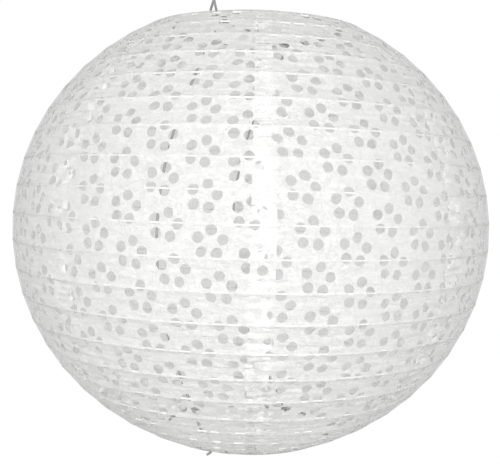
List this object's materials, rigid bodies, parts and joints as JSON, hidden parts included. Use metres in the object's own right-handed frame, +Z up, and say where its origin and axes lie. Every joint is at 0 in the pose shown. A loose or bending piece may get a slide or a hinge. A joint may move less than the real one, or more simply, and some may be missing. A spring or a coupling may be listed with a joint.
{
  "type": "pierced paper lantern",
  "caption": "Round white paper lantern with pierced flowers, closed wire ribs and a bent-wire expander; the globe folds flat upwards.",
  "frame": {"origin": "centre of the hanging eye in the middle of the expander's bar", "axes": "+Z up along the globe's axis, -Y towards the front leg of the expander, the legs bow towards -X"},
  "size_m": [0.3554, 0.3554, 0.3222],
  "materials": {
    "paper": "matte, fine fibre",
    "rib_wire": "drawn, galvanised",
    "ring_wire": "drawn, galvanised",
    "expander_wire": "dark drawn spring wire"
  },
  "bodies": {
    "root": {"top_ring": "ring_wire", "hanger_bar": "expander_wire", "gore_1": "paper", "gore_2": "paper", "gore_3": "paper", "gore_4": "paper", "gore_5": "paper", "gore_6": "paper", "gore_7": "paper", "gore_8": "paper"},
    "bottom_ring": {"bottom_ring": "ring_wire"},
    "rib_01": {"rib_01": "rib_wire"},
    "rib_02": {"rib_02": "rib_wire"},
    "rib_03": {"rib_03": "rib_wire"},
    "rib_04": {"rib_04": "rib_wire"},
    "rib_05": {"rib_05": "rib_wire"},
    "rib_06": {"rib_06": "rib_wire"},
    "rib_07": {"rib_07": "rib_wire"},
    "rib_08": {"rib_08": "rib_wire"},
    "rib_09": {"rib_09": "rib_wire"},
    "rib_10": {"rib_10": "rib_wire"},
    "rib_11": {"rib_11": "rib_wire"},
    "rib_12": {"rib_12": "rib_wire"},
    "rib_13": {"rib_13": "rib_wire"},
    "rib_14": {"rib_14": "rib_wire"},
    "rib_15": {"rib_15": "rib_wire"},
    "rib_16": {"rib_16": "rib_wire"},
    "rib_17": {"rib_17": "rib_wire"},
    "rib_18": {"rib_18": "rib_wire"},
    "rib_19": {"rib_19": "rib_wire"},
    "rib_20": {"rib_20": "rib_wire"},
    "leg_front": {"leg_front": "expander_wire"},
    "leg_back": {"leg_back": "expander_wire"}
  },
  "joints": [
    {"name": "collapse", "type": "slide", "parent": "root", "child": "bottom_ring", "axis": [0, 0, 1], "range_m": [0, 0.277], "deforming": ["gore_1", "gore_2", "gore_3", "gore_4", "gore_5", "gore_6", "gore_7", "gore_8"]},
    {"name": "rib_01_rise", "type": "slide", "parent": "root", "child": "rib_01", "axis": [0, 0, 1], "range_m": [0, 0.00331]},
    {"name": "rib_02_rise", "type": "slide", "parent": "root", "child": "rib_02", "axis": [0, 0, 1], "range_m": [0, 0.01192]},
    {"name": "rib_03_rise", "type": "slide", "parent": "root", "child": "rib_03", "axis": [0, 0, 1], "range_m": [0, 0.02216]},
    {"name": "rib_04_rise", "type": "slide", "parent": "root", "child": "rib_04", "axis": [0, 0, 1], "range_m": [0, 0.03393]},
    {"name": "rib_05_rise", "type": "slide", "parent": "root", "child": "rib_05", "axis": [0, 0, 1], "range_m": [0, 0.04711]},
    {"name": "rib_06_rise", "type": "slide", "parent": "root", "child": "rib_06", "axis": [0, 0, 1], "range_m": [0, 0.06155]},
    {"name": "rib_07_rise", "type": "slide", "parent": "root", "child": "rib_07", "axis": [0, 0, 1], "range_m": [0, 0.07707]},
    {"name": "rib_08_rise", "type": "slide", "parent": "root", "child": "rib_08", "axis": [0, 0, 1], "range_m": [0, 0.09346]},
    {"name": "rib_09_rise", "type": "slide", "parent": "root", "child": "rib_09", "axis": [0, 0, 1], "range_m": [0, 0.11049]},
    {"name": "rib_10_rise", "type": "slide", "parent": "root", "child": "rib_10", "axis": [0, 0, 1], "range_m": [0, 0.12792]},
    {"name": "rib_11_rise", "type": "slide", "parent": "root", "child": "rib_11", "axis": [0, 0, 1], "range_m": [0, 0.14549]},
    {"name": "rib_12_rise", "type": "slide", "parent": "root", "child": "rib_12", "axis": [0, 0, 1], "range_m": [0, 0.16291]},
    {"name": "rib_13_rise", "type": "slide", "parent": "root", "child": "rib_13", "axis": [0, 0, 1], "range_m": [0, 0.17995]},
    {"name": "rib_14_rise", "type": "slide", "parent": "root", "child": "rib_14", "axis": [0, 0, 1], "range_m": [0, 0.19634]},
    {"name": "rib_15_rise", "type": "slide", "parent": "root", "child": "rib_15", "axis": [0, 0, 1], "range_m": [0, 0.21185]},
    {"name": "rib_16_rise", "type": "slide", "parent": "root", "child": "rib_16", "axis": [0, 0, 1], "range_m": [0, 0.22629]},
    {"name": "rib_17_rise", "type": "slide", "parent": "root", "child": "rib_17", "axis": [0, 0, 1], "range_m": [0, 0.23947]},
    {"name": "rib_18_rise", "type": "slide", "parent": "root", "child": "rib_18", "axis": [0, 0, 1], "range_m": [0, 0.25125]},
    {"name": "rib_19_rise", "type": "slide", "parent": "root", "child": "rib_19", "axis": [0, 0, 1], "range_m": [0, 0.26149]},
    {"name": "rib_20_rise", "type": "slide", "parent": "root", "child": "rib_20", "axis": [0, 0, 1], "range_m": [0, 0.2701]},
    {"name": "leg_front_swing", "type": "hinge", "parent": "root", "child": "leg_front", "pos_m": [0.0025, -0.0543, -0.0054], "axis": [0.7071, -0.7071, 0], "range_deg": [0, 14.5]},
    {"name": "leg_back_swing", "type": "hinge", "parent": "root", "child": "leg_back", "pos_m": [0.0025, 0.0543, -0.0054], "axis": [-0.7071, -0.7071, 0], "range_deg": [0, 14.5]}
  ],
  "couplings": [
    {"joint": "rib_01_rise", "follows": "collapse", "ratio": 0.01194},
    {"joint": "rib_02_rise", "follows": "collapse", "ratio": 0.04302},
    {"joint": "rib_03_rise", "follows": "collapse", "ratio": 0.08},
    {"joint": "rib_04_rise", "follows": "collapse", "ratio": 0.1225},
    {"joint": "rib_05_rise", "follows": "collapse", "ratio": 0.17008},
    {"joint": "rib_06_rise", "follows": "collapse", "ratio": 0.2222},
    {"joint": "rib_07_rise", "follows": "collapse", "ratio": 0.27822},
    {"joint": "rib_08_rise", "follows": "collapse", "ratio": 0.33739},
    {"joint": "rib_09_rise", "follows": "collapse", "ratio": 0.39888},
    {"joint": "rib_10_rise", "follows": "collapse", "ratio": 0.4618},
    {"joint": "rib_11_rise", "follows": "collapse", "ratio": 0.52521},
    {"joint": "rib_12_rise", "follows": "collapse", "ratio": 0.58813},
    {"joint": "rib_13_rise", "follows": "collapse", "ratio": 0.64963},
    {"joint": "rib_14_rise", "follows": "collapse", "ratio": 0.7088},
    {"joint": "rib_15_rise", "follows": "collapse", "ratio": 0.76481},
    {"joint": "rib_16_rise", "follows": "collapse", "ratio": 0.81693},
    {"joint": "rib_17_rise", "follows": "collapse", "ratio": 0.86451},
    {"joint": "rib_18_rise", "follows": "collapse", "ratio": 0.90702},
    {"joint": "rib_19_rise", "follows": "collapse", "ratio": 0.94399},
    {"joint": "rib_20_rise", "follows": "collapse", "ratio": 0.97508},
    {"joint": "leg_front_swing", "follows": "collapse", "rad_per_m": 0.91362},
    {"joint": "leg_back_swing", "follows": "collapse", "rad_per_m": 0.91362}
  ]
}
